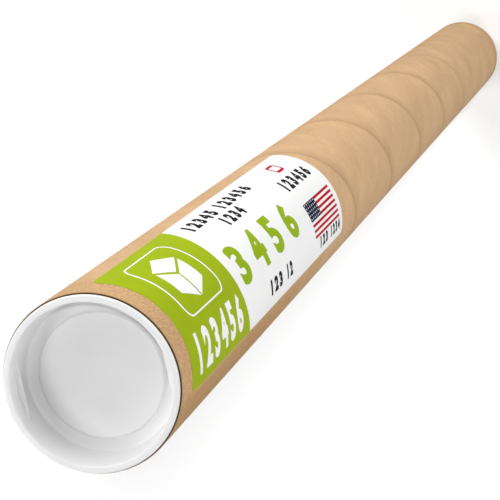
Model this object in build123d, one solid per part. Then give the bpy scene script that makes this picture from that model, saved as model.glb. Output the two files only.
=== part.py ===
from build123d import *
import math
import os

# Mailing tube standing on its plain end: millimetres, +Z up, the tube's axis on the Z axis.
# The origin is the middle of the bottom cap's face. The label is on the front, which faces -Y, near the top.
# Angles round the tube are counted from the front towards -X, as seen going clockwise from above.

# Wound board tube
tube_length = 914.4
tube_bore = 50.8
tube_wall = 1.65
cut_edge_bevel = 0.2

# Right-hand helical seam where the edges of the outer ply meet
seam_pitch = 101.5
seam_width = 0.6
seam_depth = 0.22
seam_from_top = 69.5

# Moulded plug caps, one in each end
plug_clearance = 0.1
seat_gap = 0.3
flange_setback = 0.5
flange_thickness = 1.1
flange_bevel = 0.35
skirt_wall = 0.96
skirt_draft = 5.6
mouth_bevel = 0.75
recess_depth = 10.2
floor_thickness = 1.2
floor_bevel = 0.4
plateau_radius = 19.05
plateau_rise = 1.2
plateau_bevel = 0.25
nose_bevel = 0.4
ledge_depth = 2.6
ledge_thickness = 1.0
ledge_reach = 2.0
ledge_bevel = 0.25
ledge_angle = 31.0

# Printed paper label stuck round part of the tube
label_length = 241.0
label_width = 50.0
label_thickness = 0.1
label_glue = 0.05
label_corner = 3.0
label_from_top = 11.0
label_angle = -1.0

# Sizes that follow from the ones above
bore_radius = tube_bore / 2
tube_radius = bore_radius + tube_wall
flange_radius = tube_radius - flange_setback
flange_under = -seat_gap
flange_face = flange_under - flange_thickness
skirt_radius = bore_radius - plug_clearance
plateau_level = recess_depth - plateau_rise
nose_level = recess_depth + floor_thickness
draft_slope = math.tan(math.radians(skirt_draft))
tube_foot = -flange_face
tube_top = tube_foot + tube_length
front = -90


def round_from_front(angle):
    """Rotation about the tube's axis that brings +X to an angle counted from the front towards -X."""
    return Rot(0, 0, front - angle)


def skirt_outside(level):
    """Radius of the outside of a plug's tapered skirt, at a level inside the tube's end."""
    return skirt_radius - (level - flange_under) * draft_slope


def skirt_inside(level):
    """Radius of the inside of a plug's tapered skirt, at a level inside the tube's end."""
    return skirt_outside(level) - skirt_wall


def corner(sketch, radius, level):
    """The corner of a cap's section that lies nearest to a radius and a level."""
    return min(sketch.vertices(), key=lambda v: math.hypot(v.X - radius, v.Z - level))


def wound_tube():
    """The board tube: a plain wall with eased cut ends and the outer ply's helical seam, cut turn by turn."""
    middle = Pos(0, 0, tube_length / 2)
    tube = middle * Cylinder(tube_radius, tube_length)
    tube -= middle * Cylinder(bore_radius, tube_length)
    rims = tube.edges().filter_by(GeomType.CIRCLE)
    tube = chamfer(rims, min(cut_edge_bevel, tube_wall / 3))
    turn = seam_turn()
    for number in range(math.ceil(tube_length / seam_pitch) + 1):
        tube -= Pos(0, 0, number * seam_pitch) * turn
    turns_to_front = (tube_length - seam_from_top) / seam_pitch + 0.25
    return Pos(0, 0, tube_foot) * Rot(0, 0, front - 360 * turns_to_front) * tube


def seam_turn():
    """One turn of the seam's groove, a small wedge section carried along a helix that starts a quarter pitch low."""
    low = -seam_pitch / 4
    foot = tube_radius - seam_depth
    mouth = tube_radius + seam_depth
    wedge = Polyline(
        (foot, 0, low - seam_width / 4),
        (mouth, 0, low - seam_width * 3 / 4),
        (mouth, 0, low + seam_width * 3 / 4),
        (foot, 0, low + seam_width / 4),
        close=True,
    )
    path = Helix(seam_pitch, seam_pitch, tube_radius, center=(0, 0, low))
    return sweep(make_face(wedge), path=path, is_frenet=True)


def cap_section():
    """Half section of a plug cap: flange, tapered skirt and a floor with a raised middle."""
    plateau_inside = plateau_radius - floor_thickness
    outline = Polyline(
        (0, 0, plateau_level),
        (plateau_radius, 0, plateau_level),
        (plateau_radius, 0, recess_depth),
        (skirt_inside(recess_depth), 0, recess_depth),
        (skirt_inside(flange_face), 0, flange_face),
        (flange_radius, 0, flange_face),
        (flange_radius, 0, flange_under),
        (skirt_radius, 0, flange_under),
        (skirt_outside(nose_level), 0, nose_level),
        (plateau_inside, 0, nose_level),
        (plateau_inside, 0, plateau_level + floor_thickness),
        (0, 0, plateau_level + floor_thickness),
        close=True,
    )
    section = make_face(outline)
    eased = [
        (plateau_radius, plateau_level, plateau_bevel),
        (skirt_inside(recess_depth), recess_depth, floor_bevel),
        (skirt_inside(flange_face), flange_face, mouth_bevel),
        (flange_radius, flange_face, flange_bevel),
        (skirt_outside(nose_level), nose_level, nose_bevel),
    ]
    for radius, level, size in eased:
        section = chamfer(corner(section, radius, level), size)
    return section


def pull_ledge():
    """A thin half-moon ledge across the mouth of the recess, for a fingernail to pull on."""
    chord = skirt_inside(ledge_depth) - ledge_reach
    root = skirt_inside(ledge_depth) + skirt_wall / 2
    moon = Circle(root) & Pos(chord + root, 0) * Rectangle(2 * root, 2 * root)
    ledge = Pos(0, 0, ledge_depth) * extrude(moon, ledge_thickness)
    lip = ledge.edges().filter_by(Axis.Y)
    return chamfer(lip, ledge_bevel)


def plug_cap():
    """One moulded cap in its own frame: level 0 is the tube's cut end, and levels grow into the tube."""
    cap = revolve(cap_section(), Axis.Z)
    for side in (0, 180):
        cap += Rot(0, 0, side) * pull_ledge()
    return cap


def paper_label():
    """The label: a thin sheet with rounded corners, curved round the tube on its film of glue."""
    inside = tube_radius + label_glue
    sheet = Cylinder(inside + label_thickness, label_length)
    sheet -= Cylinder(inside, label_length)
    width_across = 2 * inside * math.sin(label_width / 2 / inside)
    outline = RectangleRounded(width_across, label_length, label_corner)
    punch = extrude(Plane.YZ * outline, 2 * inside)
    place = Pos(0, 0, tube_top - label_from_top - label_length / 2)
    return place * round_from_front(label_angle) * (sheet & punch)


facing_out = round_from_front(ledge_angle)
bottom_cap = Pos(0, 0, tube_foot) * facing_out * plug_cap()
top_cap = Pos(0, 0, tube_top) * facing_out * Rot(180, 0, 0) * plug_cap()

pieces = {
    "tube": wound_tube(),
    "top_cap": top_cap,
    "bottom_cap": bottom_cap,
    "label": paper_label(),
}

os.makedirs("parts", exist_ok=True)
for name, piece in pieces.items():
    export_step(piece, f"parts/{name}.step")
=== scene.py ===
"""A standing mailing tube: spiral-wound kraft board, two moulded plug caps and a printed paper label."""
import logging
import math
from abc import ABC, abstractmethod
from collections.abc import Iterable, Mapping
from dataclasses import dataclass, field
from enum import Enum
from functools import reduce

import bmesh
import bpy
from mathutils import Matrix, Vector


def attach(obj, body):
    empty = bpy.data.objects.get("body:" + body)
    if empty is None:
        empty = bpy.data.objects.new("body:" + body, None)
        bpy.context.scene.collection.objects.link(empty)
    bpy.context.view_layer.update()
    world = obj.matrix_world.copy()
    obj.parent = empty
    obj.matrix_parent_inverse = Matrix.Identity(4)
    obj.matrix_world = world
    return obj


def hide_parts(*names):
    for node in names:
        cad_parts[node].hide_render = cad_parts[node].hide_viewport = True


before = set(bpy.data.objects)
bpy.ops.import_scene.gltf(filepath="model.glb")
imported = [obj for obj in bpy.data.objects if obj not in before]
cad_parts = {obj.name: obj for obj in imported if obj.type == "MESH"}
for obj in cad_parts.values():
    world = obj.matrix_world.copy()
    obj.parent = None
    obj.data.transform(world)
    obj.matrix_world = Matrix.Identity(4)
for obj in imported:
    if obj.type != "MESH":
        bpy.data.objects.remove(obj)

LOG = logging.getLogger("mailing_tube")
MM = 0.001
TURN = 2 * math.pi
SHARP_ANGLE = math.radians(50)
TUBE_TOP, TUBE_FOOT, TUBE_RADIUS = 915.8, 1.4, 27.05
NOISE_RANGE = (0.3, 0.7)

Colour = tuple[float, float, float]
Direction = tuple[float, float, float]
Point = tuple[float, float]
Ramp = tuple[float, float, float, float]
Feed = object
Socket = bpy.types.NodeSocket
Material = bpy.types.Material
Form = bmesh.types.BMesh
Rim = list[bmesh.types.BMEdge]
Ring = list[bmesh.types.BMVert]

WHITE: Colour = (1.0, 1.0, 1.0)


class Body(Enum):
    """The bodies that pieces ride on."""

    TUBE = "tube"
    TOP_CAP = "top_cap"
    BOTTOM_CAP = "bottom_cap"


class Slot(Enum):
    """The record's material slots."""

    BOARD = "kraft_board"
    PAPER = "printed_paper"
    PLASTIC = "white_plastic"


def opaque(colour: Colour) -> tuple[float, float, float, float]:
    """Returns a colour with full alpha, as a colour socket takes it."""
    return (*colour, 1.0)


def scaled(colour: Colour, factor: float) -> Colour:
    """Returns a colour made lighter or darker by one factor."""
    return (colour[0] * factor, colour[1] * factor, colour[2] * factor)


@dataclass(frozen=True)
class Pattern:
    """A soft random pattern: its features to a unit, its finer layers, their strength and its reach."""

    scale: float
    detail: float = 2.0
    roughness: float = 0.5
    reach: float = 1.0


class Graph:
    """Adds and joins the nodes of one tree, so that a recipe reads as a list of steps."""

    def __init__(self, tree: bpy.types.NodeTree) -> None:
        """Starts on the tree that gets the nodes."""
        self.tree = tree

    def feed(self, socket: Socket, value: Feed) -> None:
        """Joins a socket to another one, or sets its value.

        Args:
            socket: The input that is fed.
            value: An output socket, or a plain value.
        """
        if isinstance(value, Socket):
            self.tree.links.new(value, socket)
        else:
            socket.default_value = value

    def add(
        self, kind: str, feeds: Mapping[str | int, Feed] | None = None, **settings: object
    ) -> bpy.types.Node:
        """Adds one node.

        Args:
            kind: The node's type.
            feeds: What each input gets, by the input's name or number.
            **settings: The node's own options.

        Returns:
            The new node.
        """
        node = self.tree.nodes.new(kind)
        for option, value in settings.items():
            setattr(node, option, value)
        for socket, value in (feeds or {}).items():
            self.feed(node.inputs[socket], value)
        return node

    def math(self, operation: str, *terms: Feed) -> Socket:
        """Returns the result of one sum on numbers, such as SINE or MAXIMUM."""
        return self.add("ShaderNodeMath", dict(enumerate(terms)), operation=operation).outputs[0]

    def plus(self, *terms: Feed) -> Socket:
        """Returns the sum of two or more numbers."""
        return reduce(lambda total, term: self.math("ADD", total, term), terms)

    def times(self, *terms: Feed) -> Socket:
        """Returns the product of two or more numbers."""
        return reduce(lambda total, term: self.math("MULTIPLY", total, term), terms)

    def minus(self, whole: Feed, part: Feed) -> Socket:
        """Returns one number less another."""
        return self.math("SUBTRACT", whole, part)

    def over(self, whole: Feed, part: Feed) -> Socket:
        """Returns one number divided by another."""
        return self.math("DIVIDE", whole, part)

    def blend(self, first: Feed, second: Feed, share: float) -> Socket:
        """Returns two numbers mixed by a share of the first."""
        return self.plus(self.times(first, share), self.times(second, 1 - share))

    def swing(self, noise: Feed, pattern: Pattern) -> Socket:
        """Returns a noise's swing about its middle, times its pattern's reach."""
        return self.times(self.minus(noise, 0.5), pattern.reach)

    def ramp(
        self, value: Feed, start: Feed, end: Feed, low: Feed = 0.0, high: Feed = 1.0, smooth: bool = False
    ) -> Socket:
        """Maps a value from one range to another, held at both ends.

        Args:
            value: The number to map.
            start: The value that gives low.
            end: The value that gives high.
            low: The result at start.
            high: The result at end.
            smooth: Whether the slope eases in and out.

        Returns:
            The mapped number.
        """
        feeds = {"Value": value, "From Min": start, "From Max": end, "To Min": low, "To Max": high}
        style = "SMOOTHSTEP" if smooth else "LINEAR"
        return self.add("ShaderNodeMapRange", feeds, interpolation_type=style).outputs[0]

    def fade(self, length: Feed, ramp: Ramp) -> Socket:
        """Eases a length in metres by a ramp whose slope starts and ends at lengths in millimetres."""
        start, end, low, high = ramp
        return self.ramp(length, start * MM, end * MM, low, high, smooth=True)

    def spread(self, noise: Feed, low: float, high: float) -> Socket:
        """Maps the range that a noise mostly keeps to onto another."""
        return self.ramp(noise, *NOISE_RANGE, low, high)

    def wave(self, length: Feed, period: float) -> Socket:
        """Returns a wave between 0 and 1 along a length in metres, with its period in millimetres."""
        return self.ramp(self.math("SINE", self.times(length, TURN / (period * MM))), -1.0, 1.0)

    def vector(self, x: Feed = 0.0, y: Feed = 0.0, z: Feed = 0.0) -> Socket:
        """Returns a vector made of three numbers."""
        return self.add("ShaderNodeCombineXYZ", {0: x, 1: y, 2: z}).outputs[0]

    def parts(self, vector: Feed) -> tuple[Socket, ...]:
        """Returns the three numbers of a vector."""
        return tuple(self.add("ShaderNodeSeparateXYZ", {0: vector}).outputs)

    def length(self, vector: Feed) -> Socket:
        """Returns the length of a vector."""
        return self.add("ShaderNodeVectorMath", {0: vector}, operation="LENGTH").outputs["Value"]

    def from_axis(self, place: Feed) -> Socket:
        """Returns a point's distance from the tube's axis."""
        x, y, _ = self.parts(place)
        return self.length(self.vector(x, y))

    def place(self) -> Socket:
        """Returns the point that is shaded, in metres in its object's frame."""
        return self.add("ShaderNodeTexCoord").outputs["Object"]

    def noise(self, vector: Feed, pattern: Pattern) -> Socket:
        """Returns a pattern's number, around 0.5, at the point that a vector names."""
        feeds = {"Scale": pattern.scale, "Detail": pattern.detail, "Roughness": pattern.roughness}
        return self.add("ShaderNodeTexNoise", {"Vector": vector} | feeds).outputs[0]

    def mix(self, share: Feed, first: Feed, second: Feed) -> Socket:
        """Returns two colours mixed by a share of the second."""
        ends = [item if isinstance(item, Socket) else opaque(item) for item in (first, second)]
        return self.add("ShaderNodeMix", {0: share, 6: ends[0], 7: ends[1]}, data_type="RGBA").outputs[2]


def linked(name: str, data: bpy.types.ID) -> bpy.types.Object:
    """Returns a new object with its data, linked to the scene."""
    carrier = bpy.data.objects.new(name, data)
    bpy.context.scene.collection.objects.link(carrier)
    return carrier


def evaluated(carrier: bpy.types.Object) -> bpy.types.Mesh:
    """Returns what an object comes to, as a plain mesh of its own."""
    graph = bpy.context.evaluated_depsgraph_get()
    return bpy.data.meshes.new_from_object(carrier.evaluated_get(graph), depsgraph=graph)


class Recipe:
    """A geometry tree under construction, with its named inputs and its one result."""

    def __init__(self, name: str, **inputs: float) -> None:
        """Opens a new geometry tree.

        Args:
            name: The tree's name.
            **inputs: Each named input with its value.
        """
        self.tree = bpy.data.node_groups.new(name, "GeometryNodeTree")
        self.graph = Graph(self.tree)
        self.values = inputs
        for title, value in inputs.items():
            kind = "NodeSocketInt" if isinstance(value, int) else "NodeSocketFloat"
            self.tree.interface.new_socket(title, in_out="INPUT", socket_type=kind)
        self.tree.interface.new_socket("Finish", in_out="INPUT", socket_type="NodeSocketMaterial")
        self.tree.interface.new_socket("Geometry", in_out="OUTPUT", socket_type="NodeSocketGeometry")
        self.inputs = self.graph.add("NodeGroupInput").outputs

    def close(self, geometry: Socket) -> None:
        """Ends the tree in real geometry with its finish.

        Args:
            geometry: What the tree has made.
        """
        real = self.graph.add("GeometryNodeRealizeInstances", {0: geometry})
        feeds = {"Geometry": real.outputs[0], "Material": self.inputs["Finish"]}
        dressed = self.graph.add("GeometryNodeSetMaterial", feeds)
        self.graph.add("NodeGroupOutput", {0: dressed.outputs[0]})

    def mesh(self, finish: Material) -> bpy.types.Mesh:
        """Runs the tree once and keeps its result as a plain mesh.

        Args:
            finish: The material of the new faces.

        Returns:
            The mesh that the tree makes.
        """
        carrier = linked(self.tree.name, bpy.data.meshes.new(self.tree.name))
        modifier = carrier.modifiers.new("recipe", "NODES")
        modifier.node_group = self.tree
        given = {**self.values, "Finish": finish}
        for item in self.tree.interface.items_tree:
            if item.in_out == "INPUT":
                modifier[item.identifier] = given[item.name]
        result = evaluated(carrier)
        carrier.modifiers.remove(modifier)
        bpy.data.objects.remove(carrier)
        result.materials.clear()
        result.materials.append(finish)
        result.polygons.foreach_set("material_index", [0] * len(result.polygons))
        return result


@dataclass(frozen=True)
class Coat:
    """What a finish draws: its colour, the noise that its roughness follows, its relief, and any extras."""

    colour: Socket
    noise: Socket
    relief: Socket
    extras: Mapping[str, Feed] = field(default_factory=dict)


@dataclass(frozen=True)
class Finish(ABC):
    """A surface finish: its roughness at both ends of a noise, its relief and its shine."""

    name: str
    rough: Point
    bump: float
    bump_depth: float
    shine: float

    @abstractmethod
    def coat(self, graph: Graph) -> Coat:
        """Draws the looks of the surface.

        Args:
            graph: The material's graph.

        Returns:
            The coat.
        """

    def material(self) -> Material:
        """Returns the finish as a new material."""
        material = bpy.data.materials.new(self.name)
        material.use_nodes = True
        graph = Graph(material.node_tree)
        coat = self.coat(graph)
        relief = {"Strength": self.bump, "Distance": self.bump_depth * MM, "Height": coat.relief}
        feeds = {
            "Base Color": coat.colour,
            "Roughness": graph.spread(coat.noise, *self.rough),
            "Specular IOR Level": self.shine,
            "Normal": graph.add("ShaderNodeBump", relief).outputs[0],
        }
        shader = material.node_tree.nodes["Principled BSDF"]
        for socket, value in (feeds | coat.extras).items():
            graph.feed(shader.inputs[socket], value)
        return material


@dataclass(frozen=True)
class WoundKraft(Finish):
    """Smooth brown kraft paper of the outer ply, with fibres along the strip, a dark joint, and painted
    shade down its -X side.
    """

    name: str = "wound_kraft"
    rough: Point = (0.92, 0.78)
    bump: float = 0.35
    bump_depth: float = 0.08
    shine: float = 0.06
    pale: Colour = (0.72, 0.485, 0.27)
    deep: Colour = (0.50, 0.315, 0.155)
    rosy: Colour = (0.62, 0.39, 0.235)
    # The mottle's colours: wear at the rims, painted shade down the -X side.
    soiled_and_shaded: Colour = (0.57, 0.325, 0.185)
    waxed_and_shaded: Colour = (0.66, 0.44, 0.19)
    # Painted shade: the darker, warmer tint of the -X side.
    side_shade: Colour = (0.38, 0.21, 0.08)
    cloud: Pattern = Pattern(0.06, 3.0, 0.55, reach=1.25)
    blotch: Pattern = Pattern(0.32, 3.0, 0.6, reach=0.75)
    fibre: Pattern = Pattern(1.15, 4.0, 0.65, reach=0.28)
    grain: Pattern = Pattern(1.5, 3.0, 0.6, reach=2.4)
    hue: Pattern = Pattern(0.085, 4.0, 0.7)
    fleck: Pattern = Pattern(0.9, 1.0)
    # Mottle patterns: wear at the rims, painted shade down the -X side.
    wax_and_shade: Pattern = Pattern(0.55, 3.0, 0.7)
    grime_and_shade: Pattern = Pattern(1.3, 3.0, 0.7)
    mean_tone: float = 0.55
    fibre_relief: float = 0.6
    cloud_width: float = 0.4
    fibre_length: float = 0.14
    rosy_share: Ramp = (0.44, 0.60, 0.0, 0.75)
    fleck_share: Ramp = (0.70, 0.76, 0.0, 0.35)
    fleck_tone: float = 0.62
    wax_and_shade_share: Ramp = (0.43, 0.61, 0.0, 1.0)
    grime_and_shade_share: Ramp = (0.48, 0.61, 0.0, 0.8)
    grime_and_shade_tone: float = 0.6
    strip_width: float = 87.2
    upper_shade: Ramp = (0.0, 5.0, 0.30, 0.0)
    lower_shade: Ramp = (0.0, 15.0, 0.34, 0.0)
    shade_tone: float = 0.75
    joint_line: Ramp = (0.3, 2.6, 0.20, 0.0)
    line_tone: float = 0.4
    joint_above: Ramp = (0.68, 0.74, 1.0, 0.35)
    joint_below: Ramp = (0.10, 0.34, 0.05, 0.85)
    rim_reach: Ramp = (10.0, 24.0, 0.72, 0.0)
    # Painted shade: how far down the mottle reaches on the -X side, and where that side starts.
    shaded_side_reach: Ramp = (100.0, 240.0, 0.72, 0.0)
    shaded_side_edge: Ramp = (-22.5, -20.5, 1.0, 0.0)
    side_shade_edge: Ramp = (-23.0, -20.0, 0.55, 0.0)
    back_fade: Ramp = (-4.0, 21.0, 1.0, 0.0)

    def coat(self, graph: Graph) -> Coat:
        """Draws the paper by the strip's own map, in millimetres along and across it.

        Args:
            graph: The material's graph.

        Returns:
            The coat.
        """
        along, across, _ = graph.parts(graph.add("ShaderNodeUVMap", uv_map="ply").outputs[0])
        flat = graph.vector(along, across)
        broad = graph.vector(along, graph.times(across, self.cloud_width))
        stretched = graph.vector(graph.times(along, self.fibre_length), across)
        fibre, grain = graph.noise(stretched, self.fibre), graph.noise(flat, self.grain)
        tone = graph.plus(
            graph.swing(graph.noise(broad, self.cloud), self.cloud),
            graph.swing(fibre, self.fibre),
            graph.swing(graph.noise(broad, self.blotch), self.blotch),
            graph.swing(grain, self.grain),
            self.mean_tone,
        )
        colour = graph.mix(tone, self.deep, self.pale)
        rosy = graph.ramp(graph.noise(broad, self.hue), *self.rosy_share)
        fleck = graph.ramp(graph.noise(flat, self.fleck), *self.fleck_share)
        colour = graph.mix(fleck, graph.mix(rosy, colour, self.rosy), scaled(self.deep, self.fleck_tone))
        place = graph.place()
        colour = self.jointed(graph, colour, across, graph.parts(place)[2])
        colour = self.mottled_and_shaded(graph, colour, flat, place)
        return Coat(colour, fibre, graph.blend(fibre, grain, self.fibre_relief))

    def jointed(self, graph: Graph, colour: Feed, across: Feed, height: Feed) -> Socket:
        """Draws the strip's joint, which shows most just below the label and less towards both ends.

        Args:
            graph: The material's graph.
            colour: The paper's colour elsewhere.
            across: The distance from the strip's edge, in millimetres.
            height: The height of the point, in metres.

        Returns:
            The colour with a thin dark line between two soft shades.
        """
        above = graph.ramp(height, *self.joint_above, smooth=True)
        clear = graph.times(above, graph.ramp(height, *self.joint_below))
        far_edge = graph.minus(self.strip_width, across)
        upper = graph.ramp(across, *self.upper_shade, smooth=True)
        lower = graph.ramp(far_edge, *self.lower_shade, smooth=True)
        shade = graph.times(graph.math("MAXIMUM", upper, lower), clear)
        colour = graph.mix(shade, colour, scaled(self.deep, self.shade_tone))
        edge = graph.math("MINIMUM", across, far_edge)
        line = graph.times(graph.ramp(edge, *self.joint_line, smooth=True), clear, clear)
        return graph.mix(line, colour, scaled(self.deep, self.line_tone))

    def mottled_and_shaded(self, graph: Graph, colour: Feed, flat: Feed, place: Feed) -> Socket:
        """Draws coarse mottle of wear at both rims, and painted shade next to the label on the -X side,
        where the mottle reaches further down under a darker tint.

        Args:
            graph: The material's graph.
            colour: The paper's colour elsewhere.
            flat: The strip's map.
            place: The point. The mottle reaches further down on the -X side as painted shade, and fades
                round the back.

        Returns:
            The colour with the mottle and the painted shade.
        """
        side, depth, height = graph.parts(place)
        from_top = graph.minus(TUBE_TOP * MM, height)
        from_rim = graph.math("MINIMUM", from_top, graph.minus(height, TUBE_FOOT * MM))
        # Painted shade on the -X side, kept to the front: the mottle reaches down next to the label and a
        # darker tint lies over it.
        in_front = graph.fade(depth, self.back_fade)
        shaded_side = graph.times(graph.fade(side, self.shaded_side_edge), in_front)
        shaded_side_down = graph.times(graph.fade(from_top, self.shaded_side_reach), shaded_side)
        # The mottle's share: wear at both rims, painted shade down the -X side.
        share = graph.math("MAXIMUM", graph.fade(from_rim, self.rim_reach), shaded_side_down)
        waxed_and_shaded = graph.ramp(graph.noise(flat, self.wax_and_shade), *self.wax_and_shade_share)
        grimy_and_shaded = graph.ramp(graph.noise(flat, self.grime_and_shade), *self.grime_and_shade_share)
        mottle = graph.mix(waxed_and_shaded, self.soiled_and_shaded, self.waxed_and_shaded)
        mottle = graph.mix(grimy_and_shaded, mottle, scaled(self.deep, self.grime_and_shade_tone))
        # Painted shade: the darker, warmer tint over the -X side.
        side_shaded = graph.times(share, graph.times(graph.fade(side, self.side_shade_edge), in_front))
        return graph.mix(side_shaded, graph.mix(share, colour, mottle), self.side_shade)


@dataclass(frozen=True)
class ShadedCutBoard(Finish):
    """The sawn end of the board, where its plies show as fine rings round the tube's axis, darkened by
    painted shadow of the gap under the caps' flanges.
    """

    name: str = "shaded_cut_board"
    rough: Point = (0.95, 0.8)
    bump: float = 0.6
    bump_depth: float = 0.1
    shine: float = 0.08
    # Painted shadow: the rings' colours are near black, as in the gap under a flange; only the outer skin
    # keeps a kraft colour.
    pale: Colour = (0.13, 0.075, 0.04)
    deep: Colour = (0.035, 0.02, 0.01)
    skin: Colour = (0.46, 0.29, 0.16)
    skin_inside: float = 26.82
    skin_outside: float = 26.98
    ply: float = 0.33
    fuzz: Pattern = Pattern(900.0, 3.0, 0.6)
    wander: float = 0.35
    ring_share: float = 0.55

    def coat(self, graph: Graph) -> Coat:
        """Draws the rings by the distance from the tube's axis.

        Args:
            graph: The material's graph.

        Returns:
            The coat.
        """
        place = graph.place()
        radius = graph.from_axis(place)
        fuzz = graph.noise(place, self.fuzz)
        rings = graph.wave(graph.plus(radius, graph.times(fuzz, self.wander * self.ply * MM)), self.ply)
        share = graph.blend(rings, fuzz, self.ring_share)
        turned = graph.ramp(radius, self.skin_inside * MM, self.skin_outside * MM)
        colour = graph.mix(turned, graph.mix(share, self.deep, self.pale), self.skin)
        return Coat(colour, fuzz, share)


@dataclass(frozen=True)
class InnerPly(Finish):
    """The plain inside ply, greyer than the outside, with its own spiral joint."""

    name: str = "inner_ply"
    rough: Point = (0.92, 0.8)
    bump: float = 0.3
    bump_depth: float = 0.08
    shine: float = 0.5
    pale: Colour = (0.56, 0.42, 0.28)
    deep: Colour = (0.42, 0.30, 0.19)
    cloud: Pattern = Pattern(60.0, 4.0, 0.6)
    grain: Pattern = Pattern(1300.0, 3.0, 0.6)
    cloud_share: float = 0.6
    pale_share: Point = (0.35, 0.65)
    pitch: float = 96.0
    spare_turns: float = 20.0
    joint: Ramp = (0.0, 0.006, 0.8, 0.0)
    joint_tone: float = 0.4

    def coat(self, graph: Graph) -> Coat:
        """Draws the ply, and finds its spiral joint from height and bearing.

        Args:
            graph: The material's graph.

        Returns:
            The coat.
        """
        place = graph.place()
        x, y, z = graph.parts(place)
        bearing = graph.over(graph.math("ARCTAN2", y, x), TURN)
        turns = graph.plus(graph.over(z, self.pitch * MM), self.spare_turns)
        within = graph.math("FRACT", graph.minus(turns, bearing))
        joint = graph.ramp(graph.math("ABSOLUTE", graph.minus(within, 0.5)), *self.joint)
        grain = graph.noise(place, self.grain)
        share = graph.blend(graph.noise(place, self.cloud), grain, self.cloud_share)
        colour = graph.mix(graph.ramp(share, *self.pale_share), self.deep, self.pale)
        colour = graph.mix(joint, colour, scaled(self.deep, self.joint_tone))
        return Coat(colour, grain, share)


@dataclass(frozen=True)
class MouldedPlastic(Finish):
    """Soft white moulded plastic with a satin skin, faint flow rings, and painted shade that greys the
    recess.
    """

    name: str = "moulded_white"
    rough: Point = (0.34, 0.46)
    bump: float = 0.1
    bump_depth: float = 0.02
    shine: float = 0.5
    colour: Colour = (0.86, 0.86, 0.86)
    shade: Colour = (0.825, 0.825, 0.828)
    # Painted shade of the recess: its tone, and the radii over which it fades out.
    recess_shade_tone: float = 0.93
    recess_shade_inside: float = 23.6
    recess_shade_outside: float = 24.6
    cloud: Pattern = Pattern(70.0, 3.0)
    skin: Pattern = Pattern(1500.0, 2.0)
    drift: float = 4.0
    ring_pitch: float = 3.1
    ring_tone: float = 0.1
    cloud_tone: float = 0.9
    skin_relief: float = 0.85
    depth: float = 1.2
    bleed: Colour = (1.0, 0.95, 0.9)
    soft_share: float = 0.15

    def coat(self, graph: Graph) -> Coat:
        """Draws round flow marks, and painted shade: a greyer tone within the rim, over the recess's floor
        and walls.

        Args:
            graph: The material's graph.

        Returns:
            The coat.
        """
        place = graph.place()
        radius = graph.from_axis(place)
        cloud = graph.noise(place, self.cloud)
        flow = graph.wave(graph.plus(radius, graph.times(cloud, self.drift * MM)), self.ring_pitch)
        share = graph.plus(graph.times(flow, self.ring_tone), graph.spread(cloud, 0.0, self.cloud_tone))
        # Painted shade: everything within about 24 mm of the axis, the recess, is greyer.
        recess_shaded_ends = [scaled(colour, self.recess_shade_tone) for colour in (self.shade, self.colour)]
        unshaded_share = graph.ramp(radius, self.recess_shade_inside * MM, self.recess_shade_outside * MM)
        colour = graph.mix(unshaded_share, graph.mix(share, *recess_shaded_ends), graph.mix(share, self.shade, self.colour))
        extras = {
            "Subsurface Weight": self.soft_share,
            "Subsurface Radius": self.bleed,
            "Subsurface Scale": self.depth * MM,
        }
        relief = graph.blend(graph.noise(place, self.skin), flow, self.skin_relief)
        return Coat(colour, cloud, relief, extras)


@dataclass(frozen=True)
class PrintedPaper(Finish):
    """Semi-gloss label paper, bare or under one flat ink, with faint mottle and pinholes in the ink."""

    rough: Point = (0.61, 0.49)
    bump: float = 0.15
    bump_depth: float = 0.02
    shine: float = 0.008
    colour: Colour = WHITE
    mottle: float = 0.06
    cloud: Pattern = Pattern(110.0, 3.0, 0.6)
    grain: Pattern = Pattern(1900.0, 2.0, 0.6)
    cloud_share: float = 0.6

    def coat(self, graph: Graph) -> Coat:
        """Draws the ink by the label's place in metres.

        Args:
            graph: The material's graph.

        Returns:
            The coat.
        """
        place = graph.place()
        grain = graph.noise(place, self.grain)
        clouds = graph.spread(graph.noise(place, self.cloud), 0.0, self.cloud_share)
        share = graph.plus(clouds, graph.spread(grain, 0.0, 1 - self.cloud_share))
        ends = [scaled(self.colour, 1 + way * self.mottle) for way in (-1, 1)]
        return Coat(graph.mix(share, *ends), grain, share)


class Ink(Enum):
    """The label's papers and inks."""

    PAPER = PrintedPaper("label_paper", colour=(0.90, 0.90, 0.895), mottle=0.015)
    FIELD = PrintedPaper("field_green", colour=(0.330, 0.438, 0.009), mottle=0.05)
    WHITE = PrintedPaper("ink_white", colour=(0.90, 0.90, 0.895), mottle=0.02)
    GREEN = PrintedPaper("ink_green", colour=(0.29, 0.43, 0.009), mottle=0.06)
    BLACK = PrintedPaper("ink_black", colour=(0.010, 0.010, 0.011), mottle=0.25)
    RED = PrintedPaper("ink_red", colour=(0.47, 0.006, 0.016), mottle=0.08)
    NAVY = PrintedPaper("ink_navy", colour=(0.008, 0.011, 0.040), mottle=0.12)

    def dress(self) -> Material:
        """Returns this ink's material, made on first use."""
        return bpy.data.materials.get(self.value.name) or self.value.material()


def settle(piece: bpy.types.Object, body: Body, stands_for: str | None = None) -> None:
    """Tells the frame where a finished piece belongs, and logs it.

    Args:
        piece: The finished piece.
        body: The body that it rides on.
        stands_for: The solid that it replaces, if any.
    """
    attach(piece, body.value)
    if stands_for:
        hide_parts(stands_for)
    LOG.info("%s rides on %s with %d faces", piece.name, body.value, len(piece.data.polygons))


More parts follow.
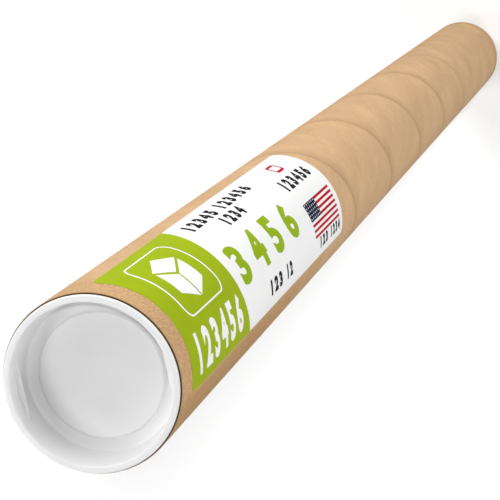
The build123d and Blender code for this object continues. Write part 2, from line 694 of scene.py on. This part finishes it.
def finished(name: str, form: Form, materials: Iterable[Material]) -> bpy.types.Object:
    """Turns an edited form into a smooth object at the origin.

    Args:
        name: The piece's name.
        form: The form, in metres. It is freed here.
        materials: The materials in the order of the faces' numbers.

    Returns:
        The new object, linked to the scene.
    """
    mesh = bpy.data.meshes.new(name)
    form.to_mesh(mesh)
    form.free()
    for material in materials:
        mesh.materials.append(material)
    mesh.shade_smooth()
    mesh.set_sharp_from_angle(angle=SHARP_ANGLE)
    return linked(name, mesh)


def only(items: Iterable[object], kind: type) -> list:
    """Returns the items of one kind."""
    return [item for item in items if isinstance(item, kind)]


def join_rings(form: Form, near: Ring, far: Ring, number: int = 0) -> None:
    """Fills the band between two closed rows of corners.

    Args:
        form: The form that the corners belong to.
        near: The first row.
        far: The second row, with as many corners. Corners that both share make a fan.
        number: The number of the band's material.
    """
    for place in range(len(near)):
        corners = (near[place - 1], near[place], far[place], far[place - 1])
        form.faces.new(list(dict.fromkeys(corners))).material_index = number


@dataclass
class WoundTube:
    """The board tube, laid as one helical strip of paper and then cut to length, in millimetres."""

    top: float = TUBE_TOP
    foot: float = TUBE_FOOT
    outside: float = TUBE_RADIUS
    bore: float = 25.4
    pitch: float = 101.5
    seam_from_top: float = 69.5
    seam_half: float = 0.16
    seam_mouth: float = 0.5
    seam_depth: float = 0.10
    rim_ease: float = 0.28
    rim_steps: int = 4
    weld: float = 0.01
    columns: int = 128
    rows_per_turn: int = 24
    bunching: float = 0.985
    turns_below: int = 10
    turns_above: int = 1

    def winding(self) -> Recipe:
        """Builds the recipe that lays the outer ply as a grid whose rows run along the strip.

        Returns:
            The recipe. Its rows bunch up at the strip's edges, where the seam's groove is.
        """
        turns = self.turns_below + self.turns_above
        recipe = Recipe(
            "wind_outer_ply",
            Columns=self.columns,
            Rows=self.rows_per_turn * turns,
            Turns=float(turns),
            Turns_Below=float(self.turns_below),
            Radius=self.outside * MM,
            Pitch=self.pitch * MM,
            Seam_Height=(self.top - self.seam_from_top) * MM,
            Seam_Half=self.seam_half * MM,
            Seam_Mouth=self.seam_mouth * MM,
            Seam_Depth=self.seam_depth * MM,
            Bunching=self.bunching / TURN,
        )
        graph, given = recipe.graph, recipe.inputs
        columns, rows = graph.plus(given["Columns"], 1.0), graph.plus(given["Rows"], 1.0)
        feeds = {"Size X": 1.0, "Size Y": 1.0, "Vertices X": columns, "Vertices Y": rows}
        sheet = graph.add("GeometryNodeMeshGrid", feeds).outputs["Mesh"]
        x, y, _ = graph.parts(graph.add("GeometryNodeInputPosition").outputs[0])
        bearing = graph.times(graph.plus(x, 0.5), TURN)
        even = graph.times(graph.plus(y, 0.5), given["Turns"])
        bunch = graph.times(graph.math("SINE", graph.times(even, TURN)), given["Bunching"])
        lap = graph.minus(graph.minus(even, bunch), given["Turns_Below"])
        climb = graph.plus(graph.over(bearing, TURN), lap)
        height = graph.plus(given["Seam_Height"], graph.times(climb, given["Pitch"]))
        slope = graph.math("ARCTANGENT", graph.over(given["Pitch"], graph.times(given["Radius"], TURN)))
        width = graph.times(given["Pitch"], graph.math("COSINE", slope))
        off = graph.times(graph.math("ABSOLUTE", graph.minus(lap, graph.math("ROUND", lap))), width)
        half, mouth, deep = (given[f"Seam_{part}"] for part in ("Half", "Mouth", "Depth"))
        groove = graph.ramp(off, half, mouth, deep, 0.0, smooth=True)
        radius = graph.minus(given["Radius"], groove)
        aim = graph.minus(bearing, TURN / 4)
        x, y = (graph.times(radius, graph.math(wave, aim)) for wave in ("COSINE", "SINE"))
        feeds = {
            "Geometry": self.strip_map(recipe, sheet, lap, bearing, height, slope, width),
            "Position": graph.vector(x, y, height),
        }
        laid = graph.add("GeometryNodeSetPosition", feeds).outputs[0]
        feeds = {"Geometry": laid, "Distance": self.weld * MM}
        recipe.close(graph.add("GeometryNodeMergeByDistance", feeds).outputs[0])
        return recipe

    def strip_map(
        self, recipe: Recipe, sheet: Socket, lap: Feed, bearing: Feed, height: Feed, slope: Feed, width: Feed
    ) -> Socket:
        """Stores each corner's place along and across its strip, in millimetres, as a map named ply.

        Args:
            recipe: The recipe that is being built.
            sheet: The flat grid.
            lap: The number of laps up to a point.
            bearing: The angle round the tube.
            height: The height of a point.
            slope: The strip's angle of climb.
            width: The strip's width.

        Returns:
            The grid with its map.
        """
        graph = recipe.graph
        mean = graph.add("GeometryNodeFieldOnDomain", {0: lap}, data_type="FLOAT", domain="FACE").outputs[0]
        whole = graph.math("FLOOR", mean)
        arc = graph.times(graph.plus(bearing, graph.times(whole, TURN)), recipe.inputs["Radius"])
        run = graph.times(arc, graph.math("COSINE", slope))
        along = graph.plus(run, graph.times(height, graph.math("SINE", slope)))
        across = graph.times(graph.minus(lap, whole), width)
        place = graph.vector(graph.over(along, MM), graph.over(across, MM))
        feeds = {"Geometry": sheet, "Name": "ply", "Value": place}
        style = {"data_type": "FLOAT2", "domain": "CORNER"}
        return graph.add("GeometryNodeStoreNamedAttribute", feeds, **style).outputs[0]

    def build(self) -> None:
        """Winds the tube, cuts it to length, eases its rims, lines its bore and settles it."""
        materials = [WoundKraft().material(), ShadedCutBoard().material(), InnerPly().material()]
        form = bmesh.new()
        form.from_mesh(self.winding().mesh(materials[0]))
        self.trim(form, self.top - self.rim_ease, upper=True)
        self.trim(form, self.foot + self.rim_ease, upper=False)
        bmesh.ops.recalc_face_normals(form, faces=form.faces[:])
        top_rim = self.ease(form, self.top, -1.0)
        foot_rim = self.ease(form, self.foot, 1.0)
        self.line_bore(form, top_rim, foot_rim)
        bmesh.ops.recalc_face_normals(form, faces=form.faces[:])
        settle(finished("wound_tube", form, materials), Body.TUBE, "tube")

    def trim(self, form: Form, level: float, upper: bool) -> None:
        """Saws the winding off square at a level.

        Args:
            form: The winding.
            level: The height of the cut.
            upper: Whether what lies above goes, rather than what lies below.
        """
        bmesh.ops.bisect_plane(
            form,
            geom=form.verts[:] + form.edges[:] + form.faces[:],
            plane_co=(0, 0, level * MM),
            plane_no=(0, 0, 1),
            clear_outer=upper,
            clear_inner=not upper,
        )

    def rim_radius(self, step: int) -> float:
        """Returns the radius at one step of a rim's rounding."""
        return self.outside - self.rim_ease * (1 - math.cos(step / self.rim_steps * TURN / 4))

    def ease(self, form: Form, level: float, inward: float) -> Rim:
        """Rounds one rim's outer edge.

        Args:
            form: The tube so far.
            level: The height of the cut end.
            inward: The direction along the axis that leads into the tube.

        Returns:
            The loop of edges on the flat of the cut end.
        """
        start = (level + inward * self.rim_ease) * MM
        loop = [
            edge for edge in form.edges
            if edge.is_boundary and abs(edge.verts[0].co.z - start) < self.weld * MM
        ]
        for step in range(1, self.rim_steps + 1):
            turn = step / self.rim_steps * TURN / 4
            height = level + inward * self.rim_ease * (1 - math.sin(turn))
            added = bmesh.ops.extrude_edge_only(form, edges=loop)["geom"]
            for vert in only(added, bmesh.types.BMVert):
                vert.co.x *= self.rim_radius(step) / self.rim_radius(step - 1)
                vert.co.y *= self.rim_radius(step) / self.rim_radius(step - 1)
                vert.co.z = height * MM
            for face in only(added, bmesh.types.BMFace):
                face.material_index = 1
            loop = [edge for edge in only(added, bmesh.types.BMEdge) if edge.is_boundary]
        return loop

    def line_bore(self, form: Form, top_rim: Rim, foot_rim: Rim) -> None:
        """Closes the tube with its two flat ends and its bore.

        Args:
            form: The tube so far.
            top_rim: The upper rim's loop.
            foot_rim: The lower rim's loop.
        """
        ease = self.rim_ease / 2
        levels = [(self.foot, ease), (self.foot + ease, 0.0), (self.top - ease, 0.0), (self.top, ease)]
        rings = [self.circle(form, self.bore + flare, level) for level, flare in levels]
        loops = [[form.edges.new(pair) for pair in zip(ring[-1:] + ring[:-1], ring)] for ring in rings]
        for lower, upper in zip(rings, rings[1:]):
            join_rings(form, upper, lower, 2)
        for rim, edges in ((foot_rim, loops[0]), (top_rim, loops[-1])):
            for face in bmesh.ops.bridge_loops(form, edges=rim + edges)["faces"]:
                face.material_index = 1

    def circle(self, form: Form, radius: float, level: float) -> Ring:
        """Adds a ring of corners round the axis.

        Args:
            form: The form that gets them.
            radius: The ring's radius.
            level: The ring's height.

        Returns:
            The corners.
        """
        angles = [number / self.columns * TURN for number in range(self.columns)]
        spots = [Vector((radius * math.cos(angle), radius * math.sin(angle), level)) for angle in angles]
        return [form.verts.new(spot * MM) for spot in spots]


@dataclass(frozen=True)
class Corner:
    """A corner of a section, with the radius that rounds it."""

    radius: float
    level: float
    ease: float = 0.0

    def rounded(self, before: "Corner", after: "Corner", steps: int = 6) -> list[Point]:
        """Replaces the corner by an arc.

        Args:
            before: The corner before this one.
            after: The corner after this one.
            steps: The number of runs in the arc.

        Returns:
            The arc's points.
        """
        here = Vector((self.radius, self.level))
        back = (Vector((before.radius, before.level)) - here).normalized()
        ahead = (Vector((after.radius, after.level)) - here).normalized()
        half = back.angle(ahead) / 2
        reach = self.ease / math.tan(half)
        centre = here + (back + ahead).normalized() * self.ease / math.sin(half)
        first, last = here + back * reach - centre, here + ahead * reach - centre
        sweep = first.angle(last)
        points = []
        for share in (step / steps for step in range(steps + 1)):
            blend = first * math.sin((1 - share) * sweep) + last * math.sin(share * sweep)
            points.append(tuple(centre + blend / math.sin(sweep)))
        return points


@dataclass
class PlugCap:
    """One moulded plug: a flange on the tube's end, a tapered skirt and a floor with a raised middle."""

    name: str
    body: Body
    end: float
    inward: float
    flange: float = 26.55
    face: float = -1.4
    under: float = -0.3
    skirt: float = 25.3
    wall: float = 0.96
    slope: float = math.tan(math.radians(5.6))
    depth: float = 10.2
    floor: float = 1.2
    plateau: float = 19.05
    plateau_draft: float = 0.1
    rise: float = 1.2
    splay: float = 0.5
    ledge_bearing: float = math.radians(31.0)
    ledge_level: float = 2.6
    ledge_thick: float = 1.0
    ledge_reach: float = 2.0
    ledge_root: float = 0.3
    ledge_tip: float = 0.02
    ledge_nose: float = 0.6
    ledge_dip: float = 0.6
    dip_run: float = 1.9
    dip_sag: float = 0.35
    crest_share: float = 0.3
    lip_steps: int = 6
    columns: int = 160

    def outside(self, level: float) -> float:
        """Returns the skirt's outer radius at a level inside the tube's end."""
        return self.skirt - (level - self.under) * self.slope

    def inside(self, level: float) -> float:
        """Returns the skirt's inner radius at a level inside the tube's end."""
        return self.outside(level) - self.wall

    def section(self) -> list[Point]:
        """Returns the half section from the middle of the recess round to the middle of the underside."""
        middle, nose = self.depth - self.rise, self.depth + self.floor
        corners = [
            Corner(0.0, middle),
            Corner(self.plateau - self.plateau_draft, middle, 0.6),
            Corner(self.plateau + self.splay, self.depth, 0.7),
            Corner(self.inside(self.depth), self.depth, 0.85),
            Corner(self.inside(self.face), self.face, 0.4),
            Corner(self.flange, self.face, 0.5),
            Corner(self.flange, self.under, 0.15),
            Corner(self.skirt, self.under, 0.2),
            Corner(self.outside(nose), nose, 0.6),
            Corner(self.plateau - self.floor, nose, 0.3),
            Corner(self.plateau - self.floor, middle + self.floor, 0.3),
            Corner(0.0, middle + self.floor),
        ]
        points = [(0.0, middle)]
        for before, corner, after in zip(corners, corners[1:], corners[2:]):
            points += corner.rounded(before, after)
        return points + [(0.0, middle + self.floor)]

    def place(self, x: float, y: float, level: float) -> Vector:
        """Returns a point of the cap's own frame, in metres, where it sits in the tube."""
        return Vector((x, y, self.end + self.inward * level)) * MM

    def turn_section(self, form: Form) -> None:
        """Turns the half section round the axis.

        Args:
            form: The form that gets the turned shell.
        """
        angles = [number / self.columns * TURN for number in range(self.columns)]
        rings = []
        for radius, level in self.section():
            if radius == 0:
                rings.append([form.verts.new(self.place(0, 0, level))] * self.columns)
                continue
            spots = [(radius * math.cos(angle), radius * math.sin(angle)) for angle in angles]
            rings.append([form.verts.new(self.place(*spot, level)) for spot in spots])
        for near, far in zip(rings, rings[1:]):
            join_rings(form, near, far)

    def ledge_slice(self, width: float) -> list[Point]:
        """Outlines one slice of a pull ledge.

        Args:
            width: How far the ledge reaches out of the wall's middle at this slice.

        Returns:
            The outline, as distances back from its lip and levels.
        """
        top, bottom = self.ledge_level, self.ledge_level + self.ledge_thick
        nose = min(self.ledge_thick / 2, self.ledge_nose * width)
        lip = []
        for angle in (step / self.lip_steps * math.pi for step in range(self.lip_steps + 1)):
            rise = (top + bottom) / 2 - math.cos(angle) * self.ledge_thick / 2
            lip.append((nose * (1 - math.sin(angle)), rise))
        dip = min(self.ledge_dip, width / 4)
        least = nose + self.crest_share * (width - nose)
        crest = max(width - self.dip_run * self.ledge_dip, least)
        brow = [(width, top + dip), ((width + crest) / 2, top + self.dip_sag * dip), (crest, top)]
        return brow + lip + [(width, bottom)]

    def add_ledge(self, form: Form, bearing: float, slices: int = 28) -> None:
        """Adds one half-moon ledge across the mouth of the recess.

        Args:
            form: The form that gets the ledge's shell.
            bearing: The direction of the ledge, from the front towards -X.
            slices: The number of slices along the ledge.
        """
        wall = self.inside(self.ledge_level)
        chord, root = wall - self.ledge_reach, wall + self.wall * self.ledge_root
        half = math.sqrt(root**2 - chord**2)
        aim = Vector((-math.sin(bearing), -math.cos(bearing)))
        side = Vector((aim.y, -aim.x))
        rows = []
        for number in range(slices + 1):
            offset = half * math.sin((number / slices - 0.5) * math.pi)
            width = max(math.sqrt(max(root**2 - offset**2, 0.0)) - chord, self.ledge_tip)
            row = []
            for back, level in self.ledge_slice(width):
                spot = aim * (chord + back) + side * offset
                row.append(form.verts.new(self.place(spot.x, spot.y, level)))
            rows.append(row)
        for near, far in zip(rows, rows[1:]):
            join_rings(form, near, far)
        form.faces.new(rows[0])
        form.faces.new(rows[-1])

    def build(self, finish: Material) -> None:
        """Makes the cap's mesh and settles it.

        Args:
            finish: The plastic.
        """
        form = bmesh.new()
        self.turn_section(form)
        for bearing in (self.ledge_bearing, self.ledge_bearing + math.pi):
            self.add_ledge(form, bearing)
        bmesh.ops.recalc_face_normals(form, faces=form.faces[:])
        settle(finished(self.name, form, [finish]), self.body, self.body.value)


@dataclass(frozen=True)
class FigureRow:
    """A row of plain figures that count up: where it runs down the tube, its foot, height and length."""

    start: float
    end: float
    foot: float
    height: float
    count: int
    first: int = 1
    spread: float = 1.3
    weight: float = 0.072


@dataclass
class Artwork:
    """Flat print in one ink, in millimetres down the tube and round it, that is wrapped on the label.

    The first coordinate runs down the tube from its top, the second runs round it towards +X.
    """

    ink: Ink
    height: float
    form: Form = field(default_factory=bmesh.new)
    paper_base: float = 27.13
    step: float = 0.8
    weld: float = 0.001

    def corners(self, points: Iterable[Point]) -> Ring:
        """Adds a flat corner at each point."""
        return [self.form.verts.new((x, y, 0.0)) for x, y in points]

    def polygon(self, points: Iterable[Point], number: int = 0) -> None:
        """Adds one filled outline, given anticlockwise, with its material's number."""
        self.form.faces.new(self.corners(points)).material_index = number

    def frame(self, low: Point, high: Point, line: Point, radii: Point) -> None:
        """Adds a rounded frame.

        Args:
            low: Its lowest corner.
            high: Its highest corner.
            line: The width of its line both ways.
            radii: The radius of its outer and of its inner corners.
        """
        outer = rounded_box(low, high, radii[0])
        low, high = (low[0] + line[0], low[1] + line[1]), (high[0] - line[0], high[1] - line[1])
        join_rings(self.form, self.corners(outer), self.corners(rounded_box(low, high, radii[1])))

    def stamp(self, mesh: bpy.types.Mesh, shift: Point, scale: Point = (1.0, 1.0)) -> None:
        """Adds a flat mesh, scaled and then moved.

        Args:
            mesh: The flat mesh. It is removed here.
            shift: Where its origin goes.
            scale: Its scale both ways.
        """
        mesh.transform(Matrix.Translation((*shift, 0.0)) @ Matrix.Diagonal((*scale, 1.0, 1.0)))
        self.form.from_mesh(mesh)
        bpy.data.meshes.remove(mesh)

    def count_up(self, row: FigureRow) -> None:
        """Adds a row of figures, each in the middle of its share of the row.

        Args:
            row: What the row is.
        """
        pitch = (row.end - row.start) / row.count
        for place in range(row.count):
            middle = row.start + (place + 0.5) * pitch
            figure = numeral(str(row.first + place), row.weight)
            self.stamp(figure, (middle, row.foot), (row.spread * pitch, row.height))

    def wrap(self, name: str, materials: list[Material] | None = None) -> bpy.types.Object:
        """Gives the print its thickness and bends it round the tube.

        Args:
            name: The piece's name.
            materials: The materials, where there are more than the ink.

        Returns:
            The finished piece.
        """
        form = self.form
        bmesh.ops.remove_doubles(form, verts=form.verts[:], dist=self.weld)
        low, high = (edge(vert.co.y for vert in form.verts) for edge in (min, max))
        for number in range(math.ceil(low / self.step), math.floor(high / self.step) + 1):
            geometry = form.verts[:] + form.edges[:] + form.faces[:]
            spot = (0, number * self.step, 0)
            bmesh.ops.bisect_plane(form, geom=geometry, plane_co=spot, plane_no=(0, 1, 0))
        raised = bmesh.ops.extrude_face_region(form, geom=form.faces[:], use_keep_orig=True)["geom"]
        for vert in only(raised, bmesh.types.BMVert):
            vert.co.z = self.height
        bmesh.ops.recalc_face_normals(form, faces=form.faces[:])
        for vert in form.verts:
            radius = self.paper_base + vert.co.z
            angle = -vert.co.y / TUBE_RADIUS
            spot = (-radius * math.sin(angle), -radius * math.cos(angle), TUBE_TOP - vert.co.x)
            vert.co = Vector(spot) * MM
        return finished(name, form, materials or [self.ink.dress()])

    def apply(self, name: str) -> None:
        """Wraps the print on the label, and settles it as part of the paper."""
        settle(self.wrap(name), Body.TUBE)


def rounded_box(low: Point, high: Point, radius: float, steps: int = 7) -> list[Point]:
    """Outlines a rectangle with round corners.

    Args:
        low: The lowest corner.
        high: The highest corner.
        radius: The corners' radius.
        steps: The number of runs in each corner.

    Returns:
        The outline, anticlockwise from its right side.
    """
    left, right, foot, top = low[0] + radius, high[0] - radius, low[1] + radius, high[1] - radius
    points = []
    for quarter, (x, y) in enumerate([(right, top), (left, top), (left, foot), (right, foot)]):
        for step in range(steps + 1):
            angle = (quarter + step / steps) * TURN / 4
            points.append((x + radius * math.cos(angle), y + radius * math.sin(angle)))
    return points


def numeral(text: str, weight: float) -> bpy.types.Mesh:
    """Makes one plain number.

    Args:
        text: The number's figures.
        weight: How much its strokes are thickened.

    Returns:
        A flat mesh, one unit high and centred on its foot.
    """
    curve = bpy.data.curves.new("numeral", "FONT")
    curve.body = text
    curve.align_x = "CENTER"
    curve.resolution_u = 4
    curve.offset = weight
    carrier = linked("numeral", curve)
    mesh = evaluated(carrier)
    bpy.data.objects.remove(carrier)
    levels = [vert.co.y for vert in mesh.vertices]
    mesh.transform(Matrix.Diagonal((1.0, 1 / (max(levels) - min(levels)), 1.0, 1.0)))
    mesh.transform(Matrix.Translation((0.0, -min(vert.co.y for vert in mesh.vertices), 0.0)))
    return mesh


def lay_tiles(recipe: Recipe, points: Feed, size: tuple[Feed, Feed], lift: Feed, tile: Feed) -> None:
    """Ends a recipe with a tile on each of its points.

    Args:
        recipe: The recipe.
        points: The points.
        size: Each tile's size along the row and across it.
        lift: How far each tile moves across the row.
        tile: What is repeated.
    """
    graph = recipe.graph
    moved = graph.add("GeometryNodeSetPosition", {"Geometry": points, "Offset": graph.vector(0.0, lift)})
    feeds = {"Points": moved.outputs[0], "Instance": tile, "Scale": graph.vector(*size, 1.0)}
    recipe.close(graph.add("GeometryNodeInstanceOnPoints", feeds).outputs[0])


def stripe_field() -> Recipe:
    """Returns the recipe for even stripes, the first few of which start later."""
    recipe = Recipe(
        "stripe_field", Count=7, Pitch=2.18, Stripe=1.09, Length=49.0, Inset=19.0, Short_Ones=4.0
    )
    graph, given = recipe.graph, recipe.inputs
    index = graph.add("GeometryNodeInputIndex").outputs[0]
    begin = graph.ramp(graph.minus(index, given["Short_Ones"]), -0.6, -0.4, given["Inset"], 0.0)
    length = graph.minus(given["Length"], begin)
    middle = graph.plus(begin, graph.over(length, 2.0))
    row = graph.add("GeometryNodeMeshLine", {"Count": given["Count"], "Offset": graph.vector()}).outputs[0]
    spread = graph.add("GeometryNodeSetPosition", {"Geometry": row, "Offset": graph.vector(middle)})
    feeds = {"Size X": 1.0, "Size Y": 1.0, "Vertices X": 2, "Vertices Y": 2}
    tile = graph.add("GeometryNodeMeshGrid", feeds).outputs["Mesh"]
    drop = graph.times(index, given["Pitch"], -1.0)
    lay_tiles(recipe, spread.outputs[0], (length, given["Stripe"]), drop, tile)
    return recipe


def dot_field() -> Recipe:
    """Returns the recipe for rows of small dots."""
    recipe = Recipe("dot_field", Across=6, Down=5, Width=15.4, Height=6.0, Dot=0.38)
    graph, given = recipe.graph, recipe.inputs
    inputs = {"Size X": "Width", "Size Y": "Height", "Vertices X": "Across", "Vertices Y": "Down"}
    feeds = {socket: given[title] for socket, title in inputs.items()}
    points = graph.add("GeometryNodeMeshGrid", feeds).outputs["Mesh"]
    disc = graph.add("GeometryNodeMeshCircle", {"Vertices": 10, "Radius": 1.0}, fill_type="NGON").outputs[0]
    lay_tiles(recipe, points, (given["Dot"], given["Dot"]), 0.0, disc)
    return recipe


@dataclass
class PaperLabel:
    """The printed label: one sheet with a green and a white field, and plain generic print on both."""

    near: float = 11.0
    far: float = 252.0
    low: float = -24.53
    high: float = 25.47
    corner: float = 3.0
    border: float = 78.1
    border_steps: int = 24
    bow: float = 7.0
    sheet_base: float = 27.07
    sheet_thick: float = 0.085
    white_row: FigureRow = FigureRow(16.0, 76.0, -21.4, 12.6, 6, spread=1.4, weight=0.045)
    green_row: FigureRow = FigureRow(80.5, 182.1, -10.0, 14.8, 4, first=3, spread=29.0 / 25.4, weight=0.045)
    black_rows: tuple[FigureRow, ...] = (
        FigureRow(90.0, 128.0, 16.0, 5.4, 5),
        FigureRow(132.0, 178.0, 16.0, 5.4, 6),
        FigureRow(115.0, 144.0, 9.4, 5.2, 4),
        FigureRow(114.0, 136.0, -20.2, 5.4, 3),
        FigureRow(141.0, 153.0, -20.2, 5.4, 2),
        FigureRow(195.0, 243.0, 5.0, 6.2, 6),
        FigureRow(203.0, 221.0, -21.6, 4.6, 3),
        FigureRow(225.0, 247.0, -21.6, 4.6, 4),
    )

    def sheet(self) -> None:
        """Makes the paper sheet with its green and its white field."""
        art = Artwork(Ink.PAPER, self.sheet_thick, paper_base=self.sheet_base)
        outline = rounded_box((self.near, self.low), (self.far, self.high), self.corner)
        width = self.high - self.low
        heights = [self.low + width * step / self.border_steps for step in range(self.border_steps + 1)]
        line = [(self.border + self.bow * (2 * y / width) ** 2, y) for y in heights]
        art.polygon([point for point in outline if point[0] < self.border] + line, 0)
        right = [point for point in outline if point[0] > self.border]
        half = len(right) // 2
        art.polygon(right[half:] + right[:half] + line[::-1], 1)
        materials = [Ink.FIELD.dress(), Ink.PAPER.dress()]
        settle(art.wrap("label_sheet", materials), Body.TUBE, "label")

    def parcel(self, art: Artwork) -> None:
        """Adds a plain parcel sign in a rounded frame.

        Args:
            art: The white print.
        """
        art.frame((24.0, -5.2), (66.0, 21.0), (1.0, 0.5), (5.0, 4.4))
        middle, foot, top = 44.5, -1.8, 17.0
        wide, gap, slant = 12.0, 0.55, 4.4
        side = top - slant
        lid = [(middle, side - slant), (middle + wide, side), (middle, top), (middle - wide, side)]
        art.polygon((x, y + gap) for x, y in lid)
        for way in (-1, 1):
            near, far = middle + way * gap, middle + way * wide
            quad = [(near, side - slant - gap), (near, foot), (far, foot + slant), (far, side - gap)]
            art.polygon(quad[::way])

    def white_print(self) -> None:
        """Makes the white print of the green field, and the dots."""
        art = Artwork(Ink.WHITE, 0.06)
        self.parcel(art)
        art.count_up(self.white_row)
        art.stamp(dot_field().mesh(Ink.WHITE.dress()), (206.5, -6.0))
        art.apply("print_white")

    def green_print(self) -> None:
        """Makes the large green numbers."""
        art = Artwork(Ink.GREEN, 0.04)
        art.count_up(self.green_row)
        art.apply("print_green")

    def black_print(self) -> None:
        """Makes the black lines, each of which counts up from one in small plain numbers."""
        art = Artwork(Ink.BLACK, 0.04)
        for row in self.black_rows:
            art.count_up(row)
        art.apply("print_black")

    def colour_print(self) -> None:
        """Makes the red patch, and the striped patch with its dark corner."""
        red, navy = Artwork(Ink.RED, 0.035), Artwork(Ink.NAVY, 0.045)
        red.frame((215.0, 14.0), (227.0, 20.4), (1.8, 1.4), (2.2, 0.8))
        red.stamp(stripe_field().mesh(Ink.RED.dress()), (197.0, -2.85))
        red.apply("print_red")
        navy.polygon([(197.0, -9.93), (216.0, -9.93), (216.0, -2.3), (197.0, -2.3)])
        navy.apply("print_navy")

    def build(self) -> None:
        """Makes the sheet and all that is printed on it."""
        for make in (self.sheet, self.white_print, self.green_print, self.black_print, self.colour_print):
            make()


@dataclass(frozen=True)
class Lamp:
    """A soft lamp: where it stands as seen from the object, how far, how wide and how bright."""

    name: str
    aim: Direction
    distance: float
    width: float
    share: float

    def build(self, lit_spot: Direction) -> None:
        """Makes the lamp, soft and round.

        Args:
            lit_spot: The spot that it faces.
        """
        data = bpy.data.lights.new(self.name, "AREA")
        data.shape = "DISK"
        data.size = self.width
        data.energy = self.share * (math.pi * self.distance) ** 2
        carrier = linked(self.name, data)
        carrier.location = Vector(lit_spot) + self.distance * Vector(self.aim).normalized()
        carrier.rotation_euler = Vector(self.aim).to_track_quat("Z", "Y").to_euler()


@dataclass
class Studio:
    """White floor and world, soft light from the upper left of the picture, and the camera, in metres."""

    eye: Direction = (0.0, -0.21480, 1.38967)
    right: Direction = (-0.66162, -0.71434, -0.22791)
    up: Direction = (0.74983, -0.62934, -0.20417)
    back: Direction = (0.00242, -0.30598, 0.95203)
    lens: float = 129.76
    sensor: float = 36.0
    clip: Point = (0.01, 50.0)
    lamps: tuple[Lamp, ...] = (
        Lamp("side", (1.0, 0.0, 0.4), 1.5, 0.8, 0.50),
        Lamp("low_side", (1.0, -0.3, -0.2), 1.0, 0.6, 0.26),
        Lamp("front", (0.02, -1.0, -0.02), 1.5, 0.8, 0.58),
        Lamp("far_side", (-1.0, 0.15, 0.3), 1.5, 0.8, 0.37),
        Lamp("back", (0.5, 1.0, 0.35), 1.5, 0.5, 0.13),
        Lamp("high_back", (0.3, 1.0, 1.2), 1.5, 0.5, 0.25),
        Lamp("low_back", (-0.1, 1.0, -0.05), 1.5, 0.8, 0.26),
        Lamp("shadow_maker", (0.0687, -0.4547, 1.0), 2.5, 0.17, 0.30),
    )
    lit_spot: Direction = (0.0, 0.0, 0.9)
    ambient: float = 0.15
    floor_size: float = 12.0
    floor_bounce: float = 0.72
    floor_tone: float = 0.9
    floor_glow: float = 0.125
    shadow_zone: Point = (0.55, 1.0)

    def build_camera(self) -> None:
        """Makes the camera, at the photograph's viewing angle."""
        data = bpy.data.cameras.new("camera")
        data.lens, data.sensor_width = self.lens, self.sensor
        data.clip_start, data.clip_end = self.clip
        camera = linked("camera", data)
        turn = Matrix((self.right, self.up, self.back)).transposed()
        camera.matrix_world = Matrix.Translation(self.eye) @ turn.to_4x4()
        bpy.context.scene.camera = camera

    def by_ray(self, graph: Graph, unseen: Feed, seen: Feed) -> Socket:
        """Mixes two shaders by the kind of ray that meets them.

        Args:
            graph: The tree's graph.
            unseen: The shader for rays that light the object.
            seen: The shader for rays that show the background.

        Returns:
            The mixed shader.
        """
        rays = graph.add("ShaderNodeLightPath").outputs
        kinds = (rays[f"Is {kind} Ray"] for kind in ("Camera", "Glossy", "Transmission"))
        shown = reduce(lambda one, other: graph.math("MAXIMUM", one, other), kinds)
        return graph.add("ShaderNodeMixShader", {0: shown, 1: unseen, 2: seen}).outputs[0]

    def white(self, graph: Graph, kind: str, strength: float) -> Socket:
        """Returns a white light of a strength, from a surface or from the background."""
        return graph.add(kind, {"Color": opaque(WHITE), "Strength": strength}).outputs[0]

    def build_world(self) -> None:
        """Makes a world that looks white and lights evenly."""
        world = bpy.data.worlds.new("white_room")
        bpy.context.scene.world = world
        world.use_nodes = True
        world.node_tree.nodes.clear()
        graph = Graph(world.node_tree)
        dim, full = (self.white(graph, "ShaderNodeBackground", share) for share in (self.ambient, 1.0))
        graph.add("ShaderNodeOutputWorld", {"Surface": self.by_ray(graph, dim, full)})

    def build_floor(self) -> None:
        """Makes the floor, which looks white and keeps a faint shadow."""
        mesh = bpy.data.meshes.new("floor")
        half = self.floor_size / 2
        corners = [(-half, -half, 0), (half, -half, 0), (half, half, 0), (-half, half, 0)]
        mesh.from_pydata(corners, [], [(0, 1, 2, 3)])
        floor = linked("floor", mesh)
        material = bpy.data.materials.new("white_floor")
        material.use_nodes = True
        material.node_tree.nodes.clear()
        graph = Graph(material.node_tree)
        plain, faint = (
            graph.add("ShaderNodeBsdfDiffuse", {"Color": opaque(scaled(WHITE, tone))}).outputs[0]
            for tone in (self.floor_bounce, self.floor_tone)
        )
        glow, full = (self.white(graph, "ShaderNodeEmission", share) for share in (self.floor_glow, 1.0))
        near = graph.add("ShaderNodeAddShader", {0: faint, 1: glow}).outputs[0]
        clear = graph.ramp(graph.length(graph.place()), *self.shadow_zone, smooth=True)
        seen = graph.add("ShaderNodeMixShader", {0: clear, 1: near, 2: full}).outputs[0]
        graph.add("ShaderNodeOutputMaterial", {"Surface": self.by_ray(graph, plain, seen)})
        mesh.materials.append(material)

    def build(self) -> None:
        """Makes everything round the object."""
        bpy.context.scene.view_settings.view_transform = "Standard"
        self.build_camera()
        self.build_world()
        self.build_floor()
        for lamp in self.lamps:
            lamp.build(self.lit_spot)


def main() -> None:
    """Builds the studio and then the object, piece by piece."""
    logging.basicConfig(level=logging.INFO, format="%(name)s: %(message)s")
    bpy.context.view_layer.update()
    Studio().build()
    WoundTube().build()
    plastic = MouldedPlastic().material()
    PlugCap("plug_cap_top", Body.TOP_CAP, TUBE_TOP, -1.0).build(plastic)
    PlugCap("plug_cap_bottom", Body.BOTTOM_CAP, TUBE_FOOT, 1.0).build(plastic)
    PaperLabel().build()


if __name__ == "__main__":
    main()
